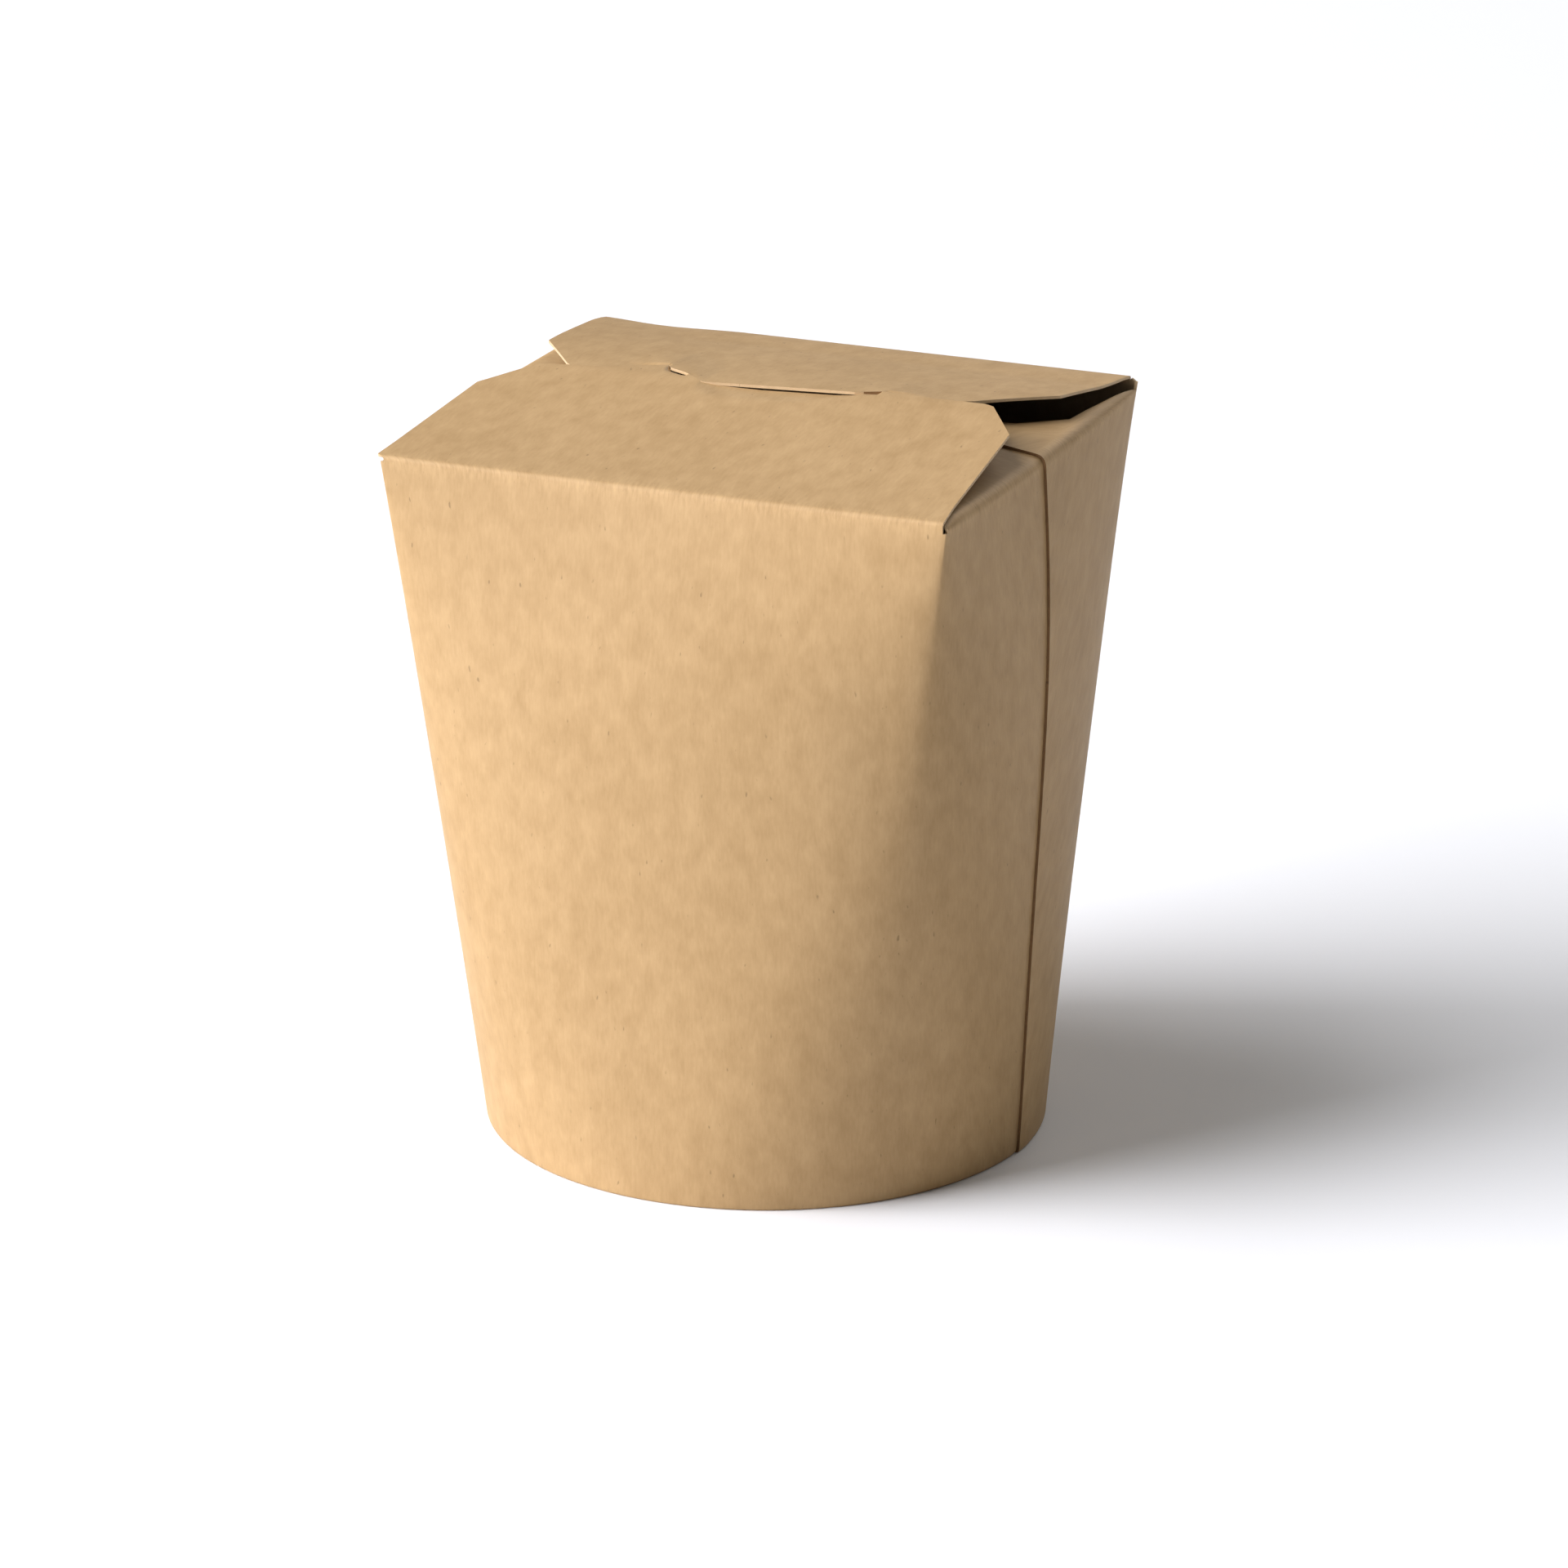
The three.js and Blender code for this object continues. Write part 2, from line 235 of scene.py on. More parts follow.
# For each side: the way that place runs, the way out, half its length at the mouth, its distance
# from the middle there, and how far its wall bulges
SIDES = {
    "front": {"run": (1, 0), "out": (0, -1), "half": HALF_WIDTH, "reach": HALF_DEPTH,
              "bulge": front_bulge},
    "right": {"run": (0, 1), "out": (1, 0), "half": HALF_DEPTH, "reach": HALF_WIDTH,
              "bulge": side_bulge},
    "back": {"run": (-1, 0), "out": (0, 1), "half": HALF_WIDTH, "reach": HALF_DEPTH,
             "bulge": front_bulge},
    "left": {"run": (0, -1), "out": (-1, 0), "half": HALF_DEPTH, "reach": HALF_WIDTH,
             "bulge": side_bulge},
}


def seam_lean(place, t):
    return place - SEAM_LEAN * (1 - t) ** SEAM_LEAN_POWER * (1 - place * place)


def rear_lap(place):
    """How far the rear panel stands out over the wall's line, from the seam to its corner."""
    return SEAM_STEP * (1 - smooth((place - SEAM_PLACE) / (1 - SEAM_PLACE)))


def front_lap(place):
    """The front panel dips as it nears the seam, and lies behind the rear panel past it."""
    dip = SEAM_STEP - BOARD - SEAM_GAP
    before = dip * smooth((place - SEAM_PLACE + SEAM_DIP_WIDTH) / SEAM_DIP_WIDTH)
    behind = rear_lap(place) - BOARD - SEAM_GAP
    return np.where(place < SEAM_PLACE, before, behind)


def wall_points(name, place, t, lap):
    """Points of the outer wall, for rows of t and columns of place on one side."""
    side = SIDES[name]
    s = seam_lean(place, t) if name == "right" else place + 0 * t
    turn = np.sign(s) * math.pi / 4 * np.abs(s) ** TURN_POWER
    share = np.sin(math.pi / 2 * s)
    bend = (1 - t) * BASE_RADIUS + t * CORNER_RADIUS
    forward = bend * np.sin(turn) + t * (side["half"] - CORNER_RADIUS) * share
    swell = side["bulge"](t) * (1 - share * share) + lap
    outward = bend * np.cos(turn) + t * (side["reach"] - CORNER_RADIUS) + swell
    x = side["run"][0] * forward + side["out"][0] * outward
    y = side["run"][1] * forward + side["out"][1] * outward
    return np.stack([x, y, t * FOLD_HEIGHT + 0 * x], axis=-1)


# Heights of the two main flaps above the fold lines

def ridge(x):
    return RIDGE_RISE + RIDGE_TILT * x


def front_plane(x, run):
    """The front flap rises evenly to the ridge and levels off there."""
    share = np.minimum(run / FRONT_LENGTH, 1 + RIDGE_SOFTEN)
    over = np.maximum(0, share - 1 + RIDGE_SOFTEN)
    return ridge(x) * (share - over * over / (4 * RIDGE_SOFTEN))


def back_arch(x, run):
    """The back flap arches through its side corner and its shoulder."""
    near = (BACK_SIDE_RISE + BACK_SIDE_TILT * x) / BACK_SIDE_RUN
    far = (ridge(x) - FLAP_STEP) / BACK_SHOULDER_RUN
    reached = np.minimum(run, BACK_LENGTH)
    along = (reached - BACK_SIDE_RUN) / (BACK_SHOULDER_RUN - BACK_SIDE_RUN)
    return reached * (near + (far - near) * along)


def slit_line(x):
    return np.interp(x, SLIT_X, SLIT_Y)


def in_slit(x):
    return (x >= SLIT_X[0]) & (x <= SLIT_X[-1])


def lip_over(x):
    """How far the lip's upper face is above the tongue's, along the slit."""
    return np.interp(x, LIP_X, LIP_OVER)


def lip_height(x):
    """Height of the lip's upper face on the slit's line."""
    return front_plane(x, slit_line(x) + HALF_DEPTH)


def back_height(x, run):
    """The back flap is lifted to its lip, and dives under the front flap beyond the slit's ends."""
    inside = np.clip(x, SLIT_X[0], SLIT_X[-1])
    y = slit_line(inside)
    lift = lip_height(inside) - back_arch(inside, HALF_DEPTH - y)
    aside = 1 - smooth(np.abs(x - inside) / LIP_FADE)
    beyond = HALF_DEPTH - run - y
    dive = np.minimum(0, lip_over(inside)) * (1 - smooth(beyond / DIVE_LENGTH))
    return back_arch(x, run) + aside * (lift * (1 - smooth(beyond / LIP_LENGTH)) + dive)


def front_height(x, run):
    """The front flap is pressed down along the slit, to lie under the lip."""
    ahead = 1 - smooth((slit_line(x) + HALF_DEPTH - run) / np.interp(x, PRESS_X, PRESS_LENGTH))
    return front_plane(x, run) - in_slit(x) * np.maximum(0, lip_over(x)) * ahead


def main_underside(x, y):
    """Height of the lower of the two main flaps' undersides."""
    lower = np.minimum(front_plane(x, y + HALF_DEPTH), back_arch(x, HALF_DEPTH - y))
    return lower - BOARD - DUST_CLEAR


def soft_min(a, b, blend=0.15):
    return -blend * np.logaddexp(-a / blend, -b / blend)


def dust_height(x, y, lap):
    """Both dust flaps rise inwards until they meet the main flaps from below."""
    inward = HALF_WIDTH - np.abs(x)
    slope = np.where(x > 0, DUST_SLOPE["right"], DUST_SLOPE["left"])
    return soft_min(inward * slope + lap, main_underside(x, y))


# The sheet: columns run round the wall from the seam's cut edge to the tucked-in edge, and rows
# run from the hem inside the base up the wall and over the folds.

def sheet_columns():
    """Side, place and lap of each column, each side without its far corner."""
    rows = []
    full = np.arange(-SIDE_STEPS, SIDE_STEPS + 1, 2) / SIDE_STEPS
    too_near = 0.3 / SIDE_STEPS
    before = full[full < SEAM_PLACE - too_near]
    after = full[full > SEAM_PLACE + too_near]
    rear = np.concatenate([[SEAM_PLACE], after])
    tucked = np.concatenate([before, [SEAM_PLACE], after[after <= SEAM_PLACE + TUCK]])
    rows += [("right", place, float(rear_lap(place)), "rear") for place in rear[:-1]]
    for name in ("back", "left", "front"):
        rows += [(name, place, 0.0, name) for place in full[:-1]]
    rows += [("right", place, float(front_lap(place)), "tucked") for place in tucked]
    return rows


class Sheet:
    """Points of the sheet, the quads between them, and what each point knows about the board."""

    def __init__(self):
        self.points = []
        self.flat = []
        self.fold = []
        self.quads = []
        self.count = 0

    def add(self, points, flat, fold):
        """Adds a grid of points and returns the grid of their numbers."""
        shape = points.shape[:2]
        numbers = np.arange(self.count, self.count + shape[0] * shape[1]).reshape(shape)
        self.points.append(points.reshape(-1, 3))
        self.flat.append(flat.reshape(-1, 2))
        self.fold.append(np.broadcast_to(fold, shape).reshape(-1))
        self.count += numbers.size
        return numbers

    def join(self, numbers, keep=None):
        """Makes quads between neighbouring points of a grid, where keep is true."""
        corners = [numbers[:-1, :-1], numbers[:-1, 1:], numbers[1:, 1:], numbers[1:, :-1]]
        quads = np.stack(corners, axis=-1)
        self.quads.append((quads if keep is None else quads[keep]).reshape(-1, 4))


def notch_drops(names, place):
    """How far below the fold lines the board ends at the corner nearest each column."""
    right = names == "right"
    near_front = (names == "front") | (right & (place < 0)) | ((names == "left") & (place > 0))
    near_right = right | ((names == "front") & (place > 0))
    drop = np.where(near_front, NOTCH_DROP["front"], NOTCH_DROP["back"])
    return np.where(near_front & near_right, NOTCH_DROP["front right"], drop)


def wall_grid(columns):
    """Rows of the hem and wall, with t at which each column's wall ends under its fold."""
    names = np.array([column[0] for column in columns])
    place = np.array([column[1] for column in columns])
    lap = np.array([column[2] for column in columns])
    fold = np.where(np.isin(names, ["front", "back"]), MAIN_FOLD, DUST_FOLD)
    hinge = np.array([HINGE_PLACE[name] for name in names])
    beyond = smooth((np.abs(place) - hinge) / HINGE_EASE)
    drop = fold + (notch_drops(names, place) - fold) * beyond
    start = RIM_BEND / FOLD_HEIGHT
    end = 1 - drop / FOLD_HEIGHT
    level = np.linspace(0, 1, WALL_ROWS)[:, None]
    t = start + (end - start) * level
    wall = np.zeros(t.shape + (3,))
    mouth = np.zeros((len(columns), 3))
    foot = np.zeros((len(columns), 3))
    for name in SIDES:
        chosen = names == name
        wall[:, chosen] = wall_points(name, place[chosen], t[:, chosen], lap[chosen])
        mouth[chosen] = wall_points(name, place[chosen], np.ones(1)[:, None], lap[chosen])[0]
        foot[chosen] = wall_points(name, place[chosen], np.zeros(1)[:, None], lap[chosen])[0]
    return np.concatenate([hem_rows(foot), wall]), mouth, len(wall)


def hem_rows(foot):
    """The turned-in lower edge, from its top inside the base round to the foot of the wall."""
    turn = arc(RIM_ROWS)
    inner = [(RIM_WIDTH, z) for z in np.linspace(HEM_HEIGHT, RIM_BEND, HEM_ROWS)]
    under = [(RIM_WIDTH - RIM_BEND * (1 - math.cos(a)), RIM_BEND * (1 - math.sin(a))) for a in turn[1:]]
    outer = [(RIM_BEND * (1 - math.sin(a)), RIM_BEND * (1 - math.cos(a))) for a in turn[:-1]]
    rows = []
    for inward, z in inner + under + outer:
        scale = (BASE_RADIUS - inward) / BASE_RADIUS
        rows.append(np.column_stack([foot[:, 0] * scale, foot[:, 1] * scale, np.full(len(foot), z)]))
    return np.array(rows)


def lengths(points, axis):
    """Distance along a grid's rows or columns, from its first point."""
    steps = np.linalg.norm(np.diff(points, axis=axis), axis=-1)
    start = np.zeros_like(np.take(steps, [0], axis=axis))
    return np.concatenate([start, np.cumsum(steps, axis=axis)], axis=axis)


def flat_of_wall(points, middle):
    """Where each point is on the flat board: round the wall from its middle column, and up it."""
    around = lengths(points, 1)
    around = around - around[:, middle:middle + 1]
    return np.stack([around, lengths(points, 0)], axis=-1)


def fold_rows(wall_end, mouth, flap_start):
    """Rounds a fold: a curve from the wall's end to the flap's start, pulled to the fold's corner."""
    u = (np.arange(1, FOLD_ROWS) / FOLD_ROWS)[:, None, None]
    return (1 - u) ** 2 * wall_end + 2 * u * (1 - u) * mouth + u ** 2 * flap_start


def outline_half(outline, run, right):
    half = [np.interp(run, *zip(*outline[key])) for key in ("right", "left")]
    return np.where(right, half[0], half[1])


def main_flap_rows(facing, outline, height, edge_run, mouth):
    """A main flap's rows: facing is -1 for the front flap and 1 for the back one.

    The run at which the flap ends depends on x, and x on the run, so the two are found in turns.
    """
    x0 = mouth[:, 0]
    right = x0 > 0
    ends = outline_half(outline, 0.0, right)
    widest = np.where(right, x0.max(), -x0.min())
    spread = x0 / widest
    corners = sorted({run for key in outline for run, _ in outline[key] if run > MAIN_FOLD})
    even = np.linspace(MAIN_FOLD, FLAP_SPLIT, FLAP_ROWS)
    first = np.union1d(even, [run for run in corners if run < FLAP_SPLIT])
    rows = []
    for run in first:
        rows.append(np.full(len(x0), run))
    last_x = spread * outline_half(outline, FLAP_SPLIT, right)
    for share in np.linspace(0, 1, TIP_ROWS)[1:]:
        run = np.full(len(x0), FLAP_SPLIT)
        for _ in range(3):
            run = FLAP_SPLIT + share * (edge_run(last_x) - FLAP_SPLIT)
            last_x = spread * outline_half(outline, run, right)
        rows.append(run)
    runs = np.array(rows)
    x = spread * outline_half(outline, runs, right)
    near_hinge = np.clip(1 - runs / HINGE_EASE_RUN, 0, 1)
    x = x + (x0 - spread * ends) * near_hinge
    y = facing * (HALF_DEPTH - runs)
    return np.stack([x, y, FOLD_HEIGHT + height(x, runs)], axis=-1), runs


def front_edge_run(x):
    """The front flap ends on the slit's line, and beyond the slit a little either side of the middle."""
    return HALF_DEPTH + np.where(in_slit(x), slit_line(x), np.interp(x, FRONT_EDGE_X, FRONT_EDGE_Y))


def back_edge_run(x):
    outside = np.interp(x, FRONT_EDGE_X, FRONT_EDGE_Y) - EDGE_OVERLAP
    return HALF_DEPTH - np.where(in_slit(x), slit_line(x), outside)


def dust_flap_rows(mouth, lap):
    """A dust flap's rows, going inwards from its fold."""
    runs = np.linspace(0, 1, DUST_ROWS) ** DUST_ROW_POWER * (DUST_LENGTH - DUST_FOLD) + DUST_FOLD
    share = runs[:, None] / DUST_LENGTH
    x = mouth[:, 0] - np.sign(mouth[:, 0]) * runs[:, None]
    y = mouth[:, 1] * (1 - DUST_TAPER * share)
    cut = np.interp(runs, *zip(*DUST_CUT))[:, None] - DUST_CUT_START
    rear = (mouth[:, 1] - DUST_CUT_START) / (DUST_CUT[0][1] - DUST_CUT_START)
    tapered = (mouth[:, 0] > 0) & (mouth[:, 1] > DUST_CUT_START)
    y = np.where(tapered, DUST_CUT_START * (1 - DUST_TAPER * share) + rear * cut, y)
    return np.stack([x, y, FOLD_HEIGHT + dust_height(x, y, lap)], axis=-1), runs


def add_flap(sheet, chosen, wall_numbers, wall, flat, mouth, rows, runs):
    """Joins a flap's rows to the wall's last row by a rounded fold."""
    fold = fold_rows(wall[-1, chosen], mouth, rows[0])
    grid = np.concatenate([fold, rows])
    top = flat[-1, chosen]
    middle = top[:, 0].mean()
    bend = np.linalg.norm(rows[0] - wall[-1, chosen], axis=-1)
    bend_share = (np.arange(1, FOLD_ROWS) / FOLD_ROWS)[:, None]
    along = np.concatenate([top[:, 1] + bend_share * bend, top[:, 1] + bend + (runs - runs[0])])
    sideways = rows[..., 0] if np.ptp(mouth[:, 0]) > np.ptp(mouth[:, 1]) else rows[..., 1]
    wide = np.abs(sideways).max(axis=1)
    narrow = np.concatenate([np.ones(FOLD_ROWS - 1), wide / wide[0]])[:, None]
    across = middle + (top[:, 0] - middle) * narrow
    # Crease wear and painted highlight: paler at the fold, fading along the flap.
    fading = np.exp(-(runs.mean(axis=1) - runs[0].mean()) / WEAR_AND_HIGHLIGHT_LENGTH)
    wear_and_highlight = np.concatenate([np.ones(FOLD_ROWS - 1), fading])
    numbers = sheet.add(grid, np.stack([across, along], axis=-1), wear_and_highlight[:, None])
    sheet.join(np.concatenate([wall_numbers[-1:, chosen], numbers]))
    return numbers


def add_tongue(sheet, rows, flat_at):
    """The tongue goes on under the slit's lip from just under the front flap's edge."""
    edge = rows[-1]
    chosen = np.flatnonzero((edge[:, 0] > TONGUE_X[0]) & (edge[:, 0] < TONGUE_X[1]))
    steps = TONGUE_START + np.linspace(0, 1, TONGUE_ROWS)[:, None] * TONGUE_LENGTH
    x = edge[chosen, 0] + 0 * steps
    y = edge[chosen, 1] + steps
    over = np.minimum(front_height(x, y + HALF_DEPTH), back_height(x, HALF_DEPTH - y) - TONGUE_GAP)
    flat = flat_at[chosen] + np.stack([0 * steps, steps], axis=-1)
    sheet.join(sheet.add(np.stack([x, y, FOLD_HEIGHT + over - BOARD], axis=-1), flat, 0.0))


def settle(points):
    """Adds the small irregularities of this box."""
    x, y, z = points.T
    away = (x + HALF_WIDTH) ** 2 + (y - HALF_DEPTH) ** 2
    corner = np.exp(-away / (2 * CORNER_LIFT_WIDTH ** 2)) * ramp(z, CORNER_LIFT_Z)
    across = ramp(x, REAR_LIFT_LEFT) * ramp(x, REAR_LIFT_RIGHT)
    fold = across * ramp(y, REAR_LIFT_Y) * ramp(z, REAR_LIFT_Z)
    dent = np.exp(-((x - DENT_X) / DENT_WIDTH) ** 2 - ((z - DENT_Z) / DENT_HEIGHT) ** 2)
    inward = DENT_DEPTH * dent * (y < DENT_BEFORE_Y)
    return np.stack([x, y + inward, z + CORNER_LIFT * corner + REAR_LIFT * fold], axis=-1)


def carton_sheet():
    columns = sheet_columns()
    part = np.array([column[3] for column in columns])
    place = np.array([column[1] for column in columns])
    lap = np.array([column[2] for column in columns])
    grid, mouth, wall_rows = wall_grid(columns)
    middle = int(np.flatnonzero((part == "front") & (np.abs(place) < 1e-9))[0])
    flat = flat_of_wall(grid, middle)
    # Crease wear and painted highlight: paler just under the fold lines, none lower on the wall.
    below = (1 - np.linspace(0, 1, wall_rows)) * FOLD_HEIGHT
    wear_and_highlight = np.concatenate([np.zeros(len(grid) - wall_rows), np.exp(-below / WEAR_AND_HIGHLIGHT_LENGTH)])
    sheet = Sheet()
    numbers = sheet.add(grid, flat, wear_and_highlight[:, None])
    sheet.join(numbers)
    seam_points = set(numbers[:, 0].tolist())
    hinge = np.abs(place) <= np.array([HINGE_PLACE[column[0]] for column in columns])
    for name, facing, outline, height, edge in (
        ("front", -1, FRONT_OUTLINE, front_height, front_edge_run),
        ("back", 1, BACK_OUTLINE, back_height, back_edge_run),
    ):
        chosen = np.flatnonzero((part == name) & hinge)
        rows, runs = main_flap_rows(facing, outline, height, edge, mouth[chosen])
        made = add_flap(sheet, chosen, numbers, grid, flat, mouth[chosen], rows, runs)
        if name == "front":
            add_tongue(sheet, rows, sheet.flat[-1].reshape(made.shape + (2,))[-1])
    for name in ("rear", "left", "tucked"):
        chosen = np.flatnonzero((part == name) & hinge)
        corner = mouth[chosen]
        corner[:, 2] = FOLD_HEIGHT + dust_height(corner[:, 0], corner[:, 1], lap[chosen])
        rows, runs = dust_flap_rows(corner, lap[chosen])
        runs = np.broadcast_to(runs[:, None], rows.shape[:2])
        made = add_flap(sheet, chosen, numbers, grid, flat, corner, rows, runs)
        if name == "rear":
            seam_points.update(made[:, 0].tolist())
    return sheet, seam_points


def vertex_normals(points, quads):
    """Area-weighted normals of a quad mesh."""
    a, b, c, d = (points[quads[:, k]] for k in range(4))
    face = np.cross(c - a, d - b)
    normal = np.zeros_like(points)
    for k in range(4):
        np.add.at(normal, quads[:, k], face)
    return normal / np.maximum(np.linalg.norm(normal, axis=1, keepdims=True), 1e-12)


def border_edges(quads):
    """Directed edges that only one quad has."""
    edges = np.concatenate([quads[:, [k, (k + 1) % 4]] for k in range(4)])
    low, high = edges.min(axis=1), edges.max(axis=1)
    key = low.astype(np.int64) * (edges.max() + 1) + high
    _, first, count = np.unique(key, return_index=True, return_counts=True)
    return edges[first[count == 1]]


def mesh_piece(name, points, faces, kinds, materials, attributes, sharp):
    """A mesh object from points in millimetres, smooth but for its cut edges and their sharp borders."""
    mesh = bpy.data.meshes.new(name)
    mesh.from_pydata((points * MM).tolist(), [], faces.tolist())
    mesh.polygons.foreach_set("material_index", kinds.astype(np.int32))
    mesh.polygons.foreach_set("use_smooth", ~np.isin(kinds, [CUT_EDGE, SHADED_EDGE]))
    for key, (form, values) in attributes.items():
        layer = mesh.attributes.new(key, form, "POINT")
        field = "value" if form == "FLOAT" else "vector"
        layer.data.foreach_set(field, values.astype(np.float32).ravel())
    for material in materials:
        mesh.materials.append(material)
    mesh.update()
    mesh.attributes.new("sharp_edge", "BOOLEAN", "EDGE")
    ends = np.empty(2 * len(mesh.edges), np.int64)
    mesh.edges.foreach_get("vertices", ends)
    edges = np.sort(ends.reshape(-1, 2), axis=1) @ [len(points), 1]
    borders = np.sort(sharp, axis=1) @ [len(points), 1]
    mesh.attributes["sharp_edge"].data.foreach_set("value", np.isin(edges, borders))
    piece = bpy.data.objects.new(name, mesh)
    bpy.context.scene.collection.objects.link(piece)
    return piece


def carton(materials):
    """The folded sheet, given the board's thickness inwards from its outer face."""
    sheet, seam_points = carton_sheet()
    outer = settle(np.concatenate(sheet.points))
    quads = np.concatenate(sheet.quads)
    inner = outer - vertex_normals(outer, quads) * BOARD
    flat = np.concatenate(sheet.flat)
    fold = np.concatenate(sheet.fold)
    border = border_edges(quads)
    count = len(outer)
    rims = np.column_stack([border[:, 1], border[:, 0], border[:, 0] + count, border[:, 1] + count])
    # Rim faces along the seam, and along the slit's right end, get the dark brown painted shade of the
    # gaps there.
    on_seam = np.array([a in seam_points and b in seam_points for a, b in border.tolist()])
    x, y, z = outer[border[:, 0]].T
    along_slit = (np.abs(y - slit_line(x)) < SLIT_SHADE_WIDTH) & (z > FOLD_HEIGHT)
    shaded_slit_end = (x > SLIT_SHADE_X[0]) & (x < SLIT_SHADE_X[1]) & along_slit
    rim_kinds = np.where(on_seam | shaded_slit_end, SHADED_EDGE, CUT_EDGE)
    kinds = np.concatenate([np.full(len(quads), OUTSIDE), np.full(len(quads), INSIDE), rim_kinds])
    faces = np.concatenate([quads, quads[:, ::-1] + count, rims])
    board = np.column_stack([np.concatenate([flat, flat]), np.zeros(2 * count)])
    attributes = {"board": ("FLOAT_VECTOR", board), "fold": ("FLOAT", np.concatenate([fold, fold]))}
    sharp = np.concatenate([border, border + count])
    points = np.concatenate([outer, inner])
    return mesh_piece("carton_sheet", points, faces, kinds, materials, attributes, sharp)


def round_over(radius, top, bend):
    """A rounded corner of the disc's section, from its top out to its side."""
    return [(radius - bend * (1 - math.sin(a)), top - bend * (1 - math.cos(a))) for a in arc(6)]


def disc_section():
    """From the middle of the disc's underside, round its skirt, to the middle of its top."""
    inside = DISC_RADIUS - DISC_BOARD
    under = DISC_TOP - DISC_BOARD
    inner_bend = DISC_BEND - DISC_BOARD / 2
    flat = np.linspace(0, inside - inner_bend, DISC_RINGS)[:-1]
    section = [(r, under) for r in flat] + round_over(inside, under, inner_bend)
    section += [(inside, DISC_LIFT), (DISC_RADIUS, DISC_LIFT)]
    section += round_over(DISC_RADIUS, DISC_TOP, DISC_BEND)[::-1]
    return section + [(r, DISC_TOP) for r in flat[::-1]]


def base_disc(material):
    """The shallow pan set in the base, its skirt turned down inside the rim."""
    turn = np.arange(DISC_SEGMENTS) * 2 * math.pi / DISC_SEGMENTS
    points = []
    faces = []
    rings = []
    for radius, z in disc_section():
        if radius < 1e-9:
            rings.append([len(points)] * DISC_SEGMENTS)
            points.append((0.0, 0.0, z))
            continue
        rings.append(list(range(len(points), len(points) + DISC_SEGMENTS)))
        points += [(radius * math.cos(a), radius * math.sin(a), z) for a in turn]
    for low, high in zip(rings, rings[1:]):
        for k in range(DISC_SEGMENTS):
            after = (k + 1) % DISC_SEGMENTS
            corners = [low[after], low[k], high[k], high[after]]
            faces.append([c for i, c in enumerate(corners) if c not in corners[:i]])
    mesh = bpy.data.meshes.new("disc_pan")
    mesh.from_pydata((np.array(points) * MM).tolist(), [], faces)
    mesh.materials.append(material)
    mesh.update()
    mesh.shade_smooth()
    board = mesh.attributes.new("board", "FLOAT_VECTOR", "POINT")
    board.data.foreach_set("vector", np.array(points, np.float32).ravel())
    piece = bpy.data.objects.new("disc_pan", mesh)
    bpy.context.scene.collection.objects.link(piece)
    return piece


# Materials. The scales are per millimetre across and up the board.

CLOUD_SCALE = (0.05, 0.04, 1)
MOTTLE_SCALE = (0.35, 0.2, 1)
GRAIN_SCALE = (2.2, 0.45, 1)
FLECK_SCALE = (1.3, 0.5, 1)
KRAFT_ROUGHNESS = 0.58
KRAFT_SPECULAR = 0.28
RELIEF_STRENGTH = 0.08
RELIEF_DEPTH = 0.2 * MM
FLOOR_WHITE = 0.86


class Nodes:
    """Short helpers for one material's node tree."""

    def __init__(self, name):
        self.material = bpy.data.materials.new(name)
        self.material.use_nodes = True
        self.tree = self.material.node_tree
        self.shader = self.tree.nodes["Principled BSDF"]

    def add(self, kind, **settings):
        node = self.tree.nodes.new(kind)
        for key, value in settings.items():
            setattr(node, key, value)
        return node

    def link(self, output, socket):
        self.tree.links.new(output, socket)

    def attribute(self, name):
        return self.add("ShaderNodeAttribute", attribute_name=name)

    def scaled(self, vector, scale):
        """The board's own coordinates, in millimetres, stretched by scale."""
        node = self.add("ShaderNodeMapping")
        node.inputs["Scale"].default_value = scale
        self.link(vector, node.inputs["Vector"])
        return node.outputs["Vector"]

    def noise(self, vector, scale, detail=3.0, rough=0.5):
        node = self.add("ShaderNodeTexNoise")
        node.inputs["Scale"].default_value = 1.0
        node.inputs["Detail"].default_value = detail
        node.inputs["Roughness"].default_value = rough
        self.link(self.scaled(vector, scale), node.inputs["Vector"])
        return node.outputs["Fac"]

    def math(self, operation, a, b):
        node = self.add("ShaderNodeMath", operation=operation)
        for value, socket in ((a, node.inputs[0]), (b, node.inputs[1])):
            if isinstance(value, (int, float)):
                socket.default_value = value
            else:
                self.link(value, socket)
        return node.outputs["Value"]

    def range(self, value, low, high, to_low, to_high):
        node = self.add("ShaderNodeMapRange")
        limits = {"From Min": low, "From Max": high, "To Min": to_low, "To Max": to_high}
        for key, number in limits.items():
            node.inputs[key].default_value = number
        self.link(value, node.inputs["Value"])
        return node.outputs["Result"]

    def mix(self, factor, a, b):
        node = self.add("ShaderNodeMix", data_type="RGBA")
        self.link(factor, node.inputs["Factor"])
        for value, socket in ((a, node.inputs[6]), (b, node.inputs[7])):
            if isinstance(value, tuple):
                socket.default_value = value + (1.0,)
            else:
                self.link(value, socket)
        return node.outputs[2]


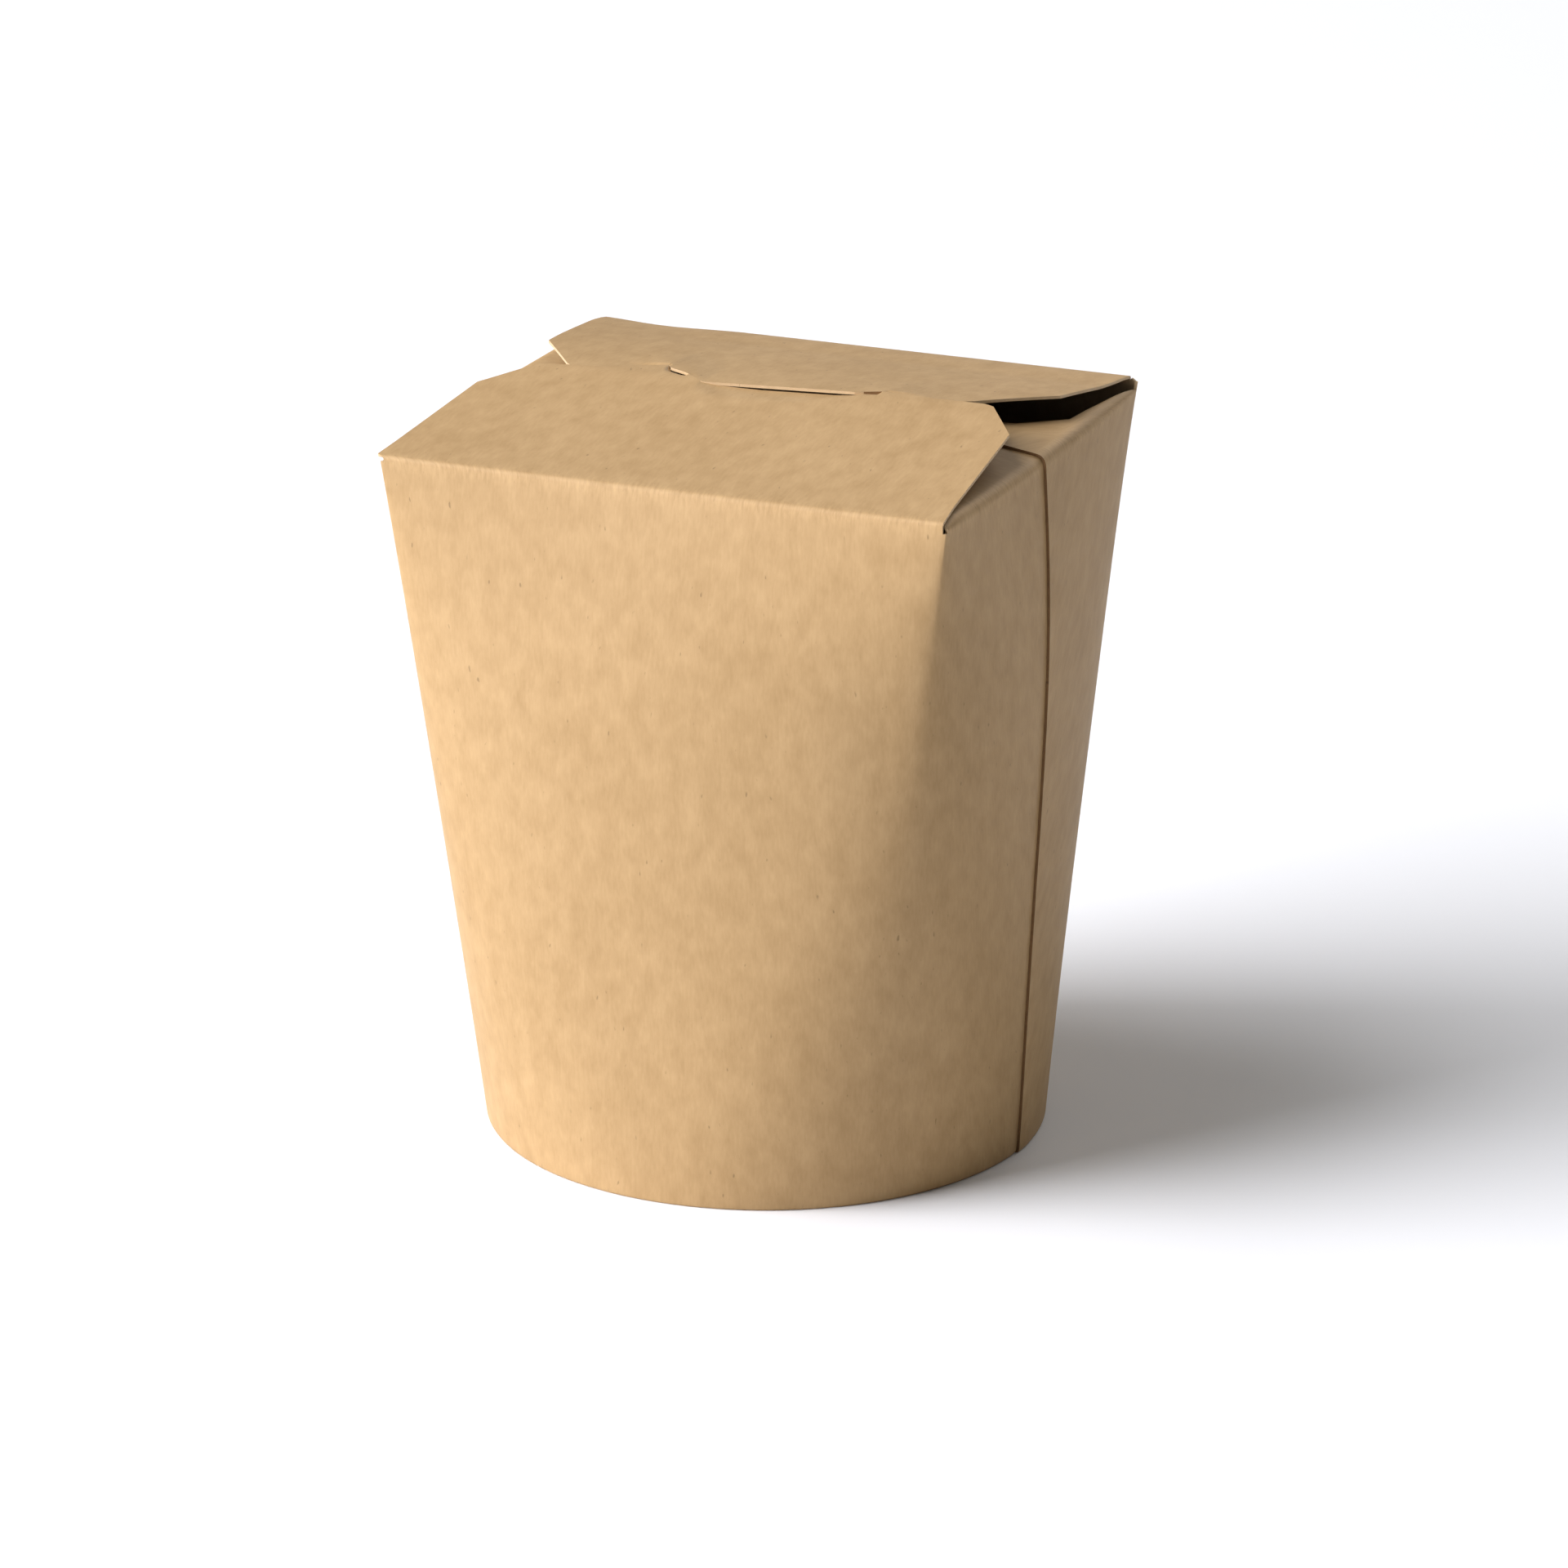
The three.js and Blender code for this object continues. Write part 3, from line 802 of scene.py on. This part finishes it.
def kraft(name, light, dark):
    """Kraft board: soft mottling, upright grain, a few dark fibres, and paler patches along the folds
    from crease wear and a painted highlight.
    """
    nodes = Nodes(name)
    board = nodes.attribute("board").outputs["Vector"]
    cloud = nodes.noise(board, CLOUD_SCALE, 2.0)
    mottle = nodes.noise(board, MOTTLE_SCALE, 3.0)
    grain = nodes.noise(board, GRAIN_SCALE, 3.0, 0.6)
    blend = nodes.math("ADD", nodes.math("MULTIPLY", cloud, 0.25), nodes.math("MULTIPLY", mottle, 0.45))
    blend = nodes.math("ADD", blend, nodes.math("MULTIPLY", grain, 0.3))
    tone = nodes.range(blend, 0.36, 0.64, 0.0, 1.0)
    colour = nodes.mix(tone, dark, light)
    fleck = nodes.noise(board, FLECK_SCALE, 1.0)
    flecked = nodes.range(fleck, 0.735, 0.8, 0.0, 0.55)
    colour = nodes.mix(flecked, colour, tuple(0.45 * c for c in dark))
    # Paler in patches along the folds: crease wear, and a painted highlight of the rounded folds.
    patchy = nodes.range(grain, 0.35, 0.65, 0.0, 0.3)
    worn_and_highlit = nodes.math("MULTIPLY", nodes.attribute("fold").outputs["Fac"], patchy)
    colour = nodes.mix(worn_and_highlit, colour, tuple(1.3 * c for c in light))
    nodes.link(colour, nodes.shader.inputs["Base Color"])
    nodes.shader.inputs["Roughness"].default_value = KRAFT_ROUGHNESS
    nodes.shader.inputs["Specular IOR Level"].default_value = KRAFT_SPECULAR
    height = nodes.math("ADD", nodes.math("MULTIPLY", grain, 0.6), nodes.math("MULTIPLY", mottle, 0.4))
    relief = nodes.add("ShaderNodeBump")
    relief.inputs["Strength"].default_value = RELIEF_STRENGTH
    relief.inputs["Distance"].default_value = RELIEF_DEPTH
    nodes.link(height, relief.inputs["Height"])
    nodes.link(relief.outputs["Normal"], nodes.shader.inputs["Normal"])
    return nodes.material


def floor_material():
    nodes = Nodes("floor_white")
    nodes.shader.inputs["Base Color"].default_value = (FLOOR_WHITE, FLOOR_WHITE, FLOOR_WHITE, 1)
    nodes.shader.inputs["Roughness"].default_value = 1.0
    nodes.shader.inputs["Specular IOR Level"].default_value = 0.0
    return nodes.material


# Stage, lights and camera, in metres

FLOOR_RADIUS = 6.0

def floor():
    bpy.ops.mesh.primitive_circle_add(vertices=96, radius=FLOOR_RADIUS, fill_type="NGON")
    ground = bpy.context.object
    ground.name = "floor"
    ground.data.materials.append(floor_material())


def direction(azimuth, elevation):
    """From the box towards a place: azimuth 0 is in front of it (-Y), and grows towards +X."""
    a, e = math.radians(azimuth), math.radians(elevation)
    return Vector((math.sin(a) * math.cos(e), -math.cos(a) * math.cos(e), math.sin(e)))


def softbox(name, azimuth, elevation, distance, size, power, colour):
    """A square area light that faces the middle of the box."""
    data = bpy.data.lights.new(name, "AREA")
    data.size = size
    data.energy = power
    data.color = colour
    lamp = bpy.data.objects.new(name, data)
    toward = direction(azimuth, elevation)
    lamp.location = Vector((0, 0, AIM_HEIGHT * MM)) + toward * distance
    lamp.rotation_euler = toward.to_track_quat("Z", "Y").to_euler()
    bpy.context.scene.collection.objects.link(lamp)


def world(strength):
    sky = bpy.data.worlds.new("studio")
    sky.use_nodes = True
    background = sky.node_tree.nodes["Background"]
    background.inputs["Color"].default_value = (1, 1, 1, 1)
    background.inputs["Strength"].default_value = strength
    bpy.context.scene.world = sky


def camera():
    back = direction(CAMERA_AZIMUTH, CAMERA_ELEVATION)
    right = direction(CAMERA_AZIMUTH + 90, 0)
    data = bpy.data.cameras.new("camera")
    data.sensor_width = SENSOR_MM
    data.lens = SENSOR_MM * FOCAL_PIXELS / PHOTO_PIXELS
    eye = bpy.data.objects.new("camera", data)
    aim = Vector((0, 0, AIM_HEIGHT)) + right * AIM_RIGHT
    eye.location = (aim + back * CAMERA_DISTANCE) * MM
    eye.rotation_euler = back.to_track_quat("Z", "Y").to_euler()
    bpy.context.scene.collection.objects.link(eye)
    bpy.context.scene.camera = eye


camera()
floor()
world(0.15)
softbox("key", -52, 21, 4.0, 2.7, 264, (0.99, 1.0, 1.06))
softbox("high key", -60, 56, 4.0, 2.4, 105, (0.99, 1.0, 1.06))
softbox("back", 172, 30, 4.0, 3.0, 46, (1.0, 1.0, 1.0))

kraft_out = kraft("kraft_out", (0.48, 0.312, 0.149), (0.384, 0.24, 0.105))
kraft_in = kraft("kraft_in", (0.40, 0.28, 0.16), (0.34, 0.23, 0.12))
kraft_cut = kraft("kraft_cut", (0.6, 0.43, 0.25), (0.52, 0.36, 0.19))
# Painted shade: the dark brown that the cut edges along the seam and at the slit's right end show in
# their gaps.
kraft_edge_shade = kraft("kraft_edge_shade", (0.22, 0.12, 0.05), (0.17, 0.09, 0.035))
sheet_piece = carton([kraft_out, kraft_in, kraft_cut, kraft_edge_shade])
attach(sheet_piece, "root")
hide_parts("carton")

disc_piece = base_disc(kraft("kraft_disc", (0.5, 0.35, 0.19), (0.42, 0.285, 0.145)))
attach(disc_piece, "root")
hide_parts("base_disc")

bpy.context.scene.view_settings.view_transform = "Standard"
